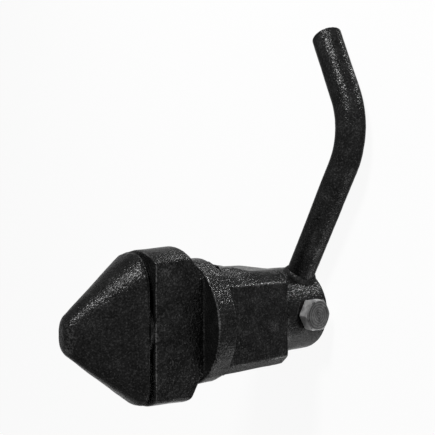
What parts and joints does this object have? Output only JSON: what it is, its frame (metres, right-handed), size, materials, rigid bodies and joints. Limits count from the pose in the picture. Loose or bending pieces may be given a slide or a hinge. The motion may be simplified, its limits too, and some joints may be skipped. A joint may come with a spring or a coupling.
{
  "type": "container twistlock",
  "caption": "Quarter-turn container twistlock: cast block with an oblong collar, forged cone head on a bushed shaft, and a cross-bolted hub with a bent bar handle.",
  "frame": {"origin": "on the shaft axis, in the plane of the block's shoulder that bears up against the underside of the bolster plate", "axes": "+Z along the shaft towards the cone head (up in service); +X along the long way of the oblong collar, on the side the handle points to; +Y completes the set, away from the cross bolt's head"},
  "size_m": [0.2928, 0.1423, 0.2205],
  "materials": {
    "cast_black": "rough black paint on cast steel",
    "forged_black": "black paint on forged scale",
    "weld_black": "black paint over a fillet weld",
    "zinc": "dull zinc plate",
    "steel": "ground",
    "black_steel": "black oxide",
    "bronze": "machined bearing bronze",
    "rubber": "matt",
    "felt": "oil-soaked felt",
    "nylon": "plain"
  },
  "bodies": {
    "block_body": {"block": "cast_black", "upper_bush": "bronze", "lower_bush": "bronze", "dust_seal": "rubber", "felt_seal": "felt", "head_washer": "steel", "hub_washer": "steel", "stop_pin": "steel", "drag_shoe": "bronze", "drag_springs": "steel", "drag_plug": "black_steel", "grease_nipple": "zinc"},
    "turning_body": {"cone_shaft": "forged_black", "handle_hub": "cast_black", "handle_bar": "forged_black", "bar_weld": "weld_black", "cross_bolt": "zinc", "nut_washer": "zinc", "lock_nut": "zinc", "nut_insert": "nylon"}
  },
  "joints": [
    {"name": "quarter_turn", "type": "hinge", "parent": "block_body", "child": "turning_body", "pos_m": [0, 0, 0], "axis": [0, 0, -1], "range_deg": [0, 90]}
  ]
}
